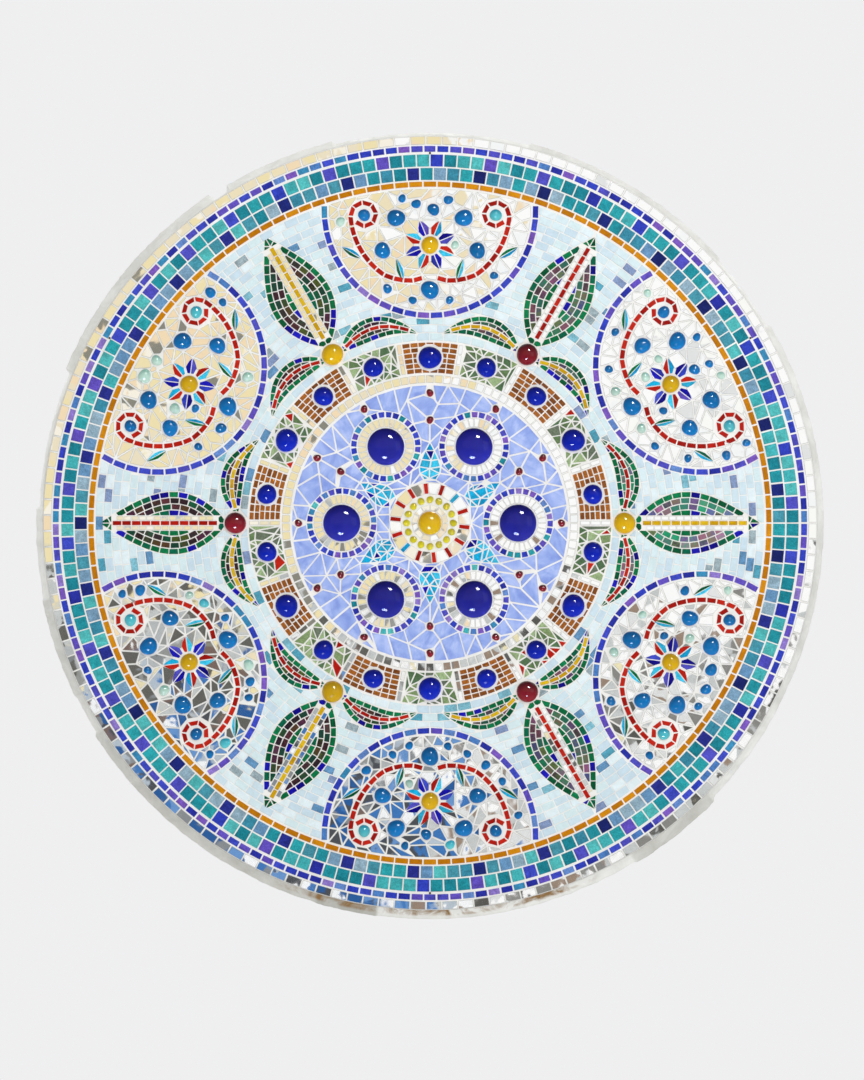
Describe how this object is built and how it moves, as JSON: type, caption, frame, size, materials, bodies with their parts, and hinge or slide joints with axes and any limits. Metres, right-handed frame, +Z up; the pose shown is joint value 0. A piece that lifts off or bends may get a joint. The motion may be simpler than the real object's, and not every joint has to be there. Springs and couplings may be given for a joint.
{
  "type": "mosaic wall panel",
  "caption": "Round decorative wall mosaic of mirror shards, glass tesserae and domed glass gems, set on a mortar bed with a hand-trowelled edge.",
  "frame": {"origin": "centre of the flat back face, where the panel meets the wall", "axes": "+Z up the wall, -Y out of the wall towards the viewer (the mosaic's face), +X to the viewer's right"},
  "size_m": [1.165, 0.0269, 1.165],
  "materials": {
    "mortar": "light grey cement mortar, trowelled, matt",
    "grout": "off-white grout, matt, flush joints",
    "mirror": "silvered mirror glass, cut to tesserae and shards",
    "violet_blue": "opaque vitreous glass in royal blue, violet and steel blue",
    "turquoise": "opaque vitreous glass, speckled turquoise and teal",
    "orange": "opaque vitreous glass, orange ochre",
    "leaf_green": "opaque glass, emerald and sage green",
    "pale_blue": "opaque vitreous glass, pale ice blue",
    "copper_brown": "copper aventurine glass with a metallic sparkle",
    "periwinkle": "streaky opalescent sheet glass, periwinkle",
    "cobalt": "clear cobalt glass gems, domed, high gloss",
    "gem_turquoise": "clear turquoise and aqua glass gems, high gloss",
    "gem_red": "dark red glass gems, high gloss",
    "red": "opaque glass, signal red",
    "sun_yellow": "amber yellow glass gems and tesserae, high gloss",
    "iridescent": "dark iridescent glass, green to purple and copper",
    "screw_steel": "weathered steel screw heads"
  },
  "bodies": {
    "root": {"mortar_bed": "mortar", "edge_mirror_course": "mirror", "blue_dash_course": "violet_blue", "turquoise_course": "turquoise", "orange_course": "orange", "lobe_field_1": "mirror", "lobe_border_1": "violet_blue", "palmette_1": "leaf_green", "cabochon_1": "cobalt", "lobe_field_2": "mirror", "lobe_border_2": "violet_blue", "palmette_2": "leaf_green", "cabochon_2": "cobalt", "lobe_field_3": "mirror", "lobe_border_3": "violet_blue", "palmette_3": "leaf_green", "cabochon_3": "cobalt", "lobe_field_4": "mirror", "lobe_border_4": "violet_blue", "palmette_4": "leaf_green", "cabochon_4": "cobalt", "lobe_field_5": "mirror", "lobe_border_5": "violet_blue", "palmette_5": "leaf_green", "cabochon_5": "cobalt", "lobe_field_6": "mirror", "lobe_border_6": "violet_blue", "palmette_6": "leaf_green", "cabochon_6": "cobalt", "pale_blue_field": "pale_blue", "jewelled_band": "copper_brown", "medallion_mirror_course": "mirror", "medallion_field": "periwinkle", "sun_rosette": "sun_yellow", "sun_gem": "sun_yellow", "fixing_screw_1": "screw_steel", "fixing_screw_2": "screw_steel", "fixing_screw_3": "screw_steel", "fixing_screw_4": "screw_steel", "fixing_screw_5": "screw_steel", "fixing_screw_6": "screw_steel"}
  },
  "joints": []
}
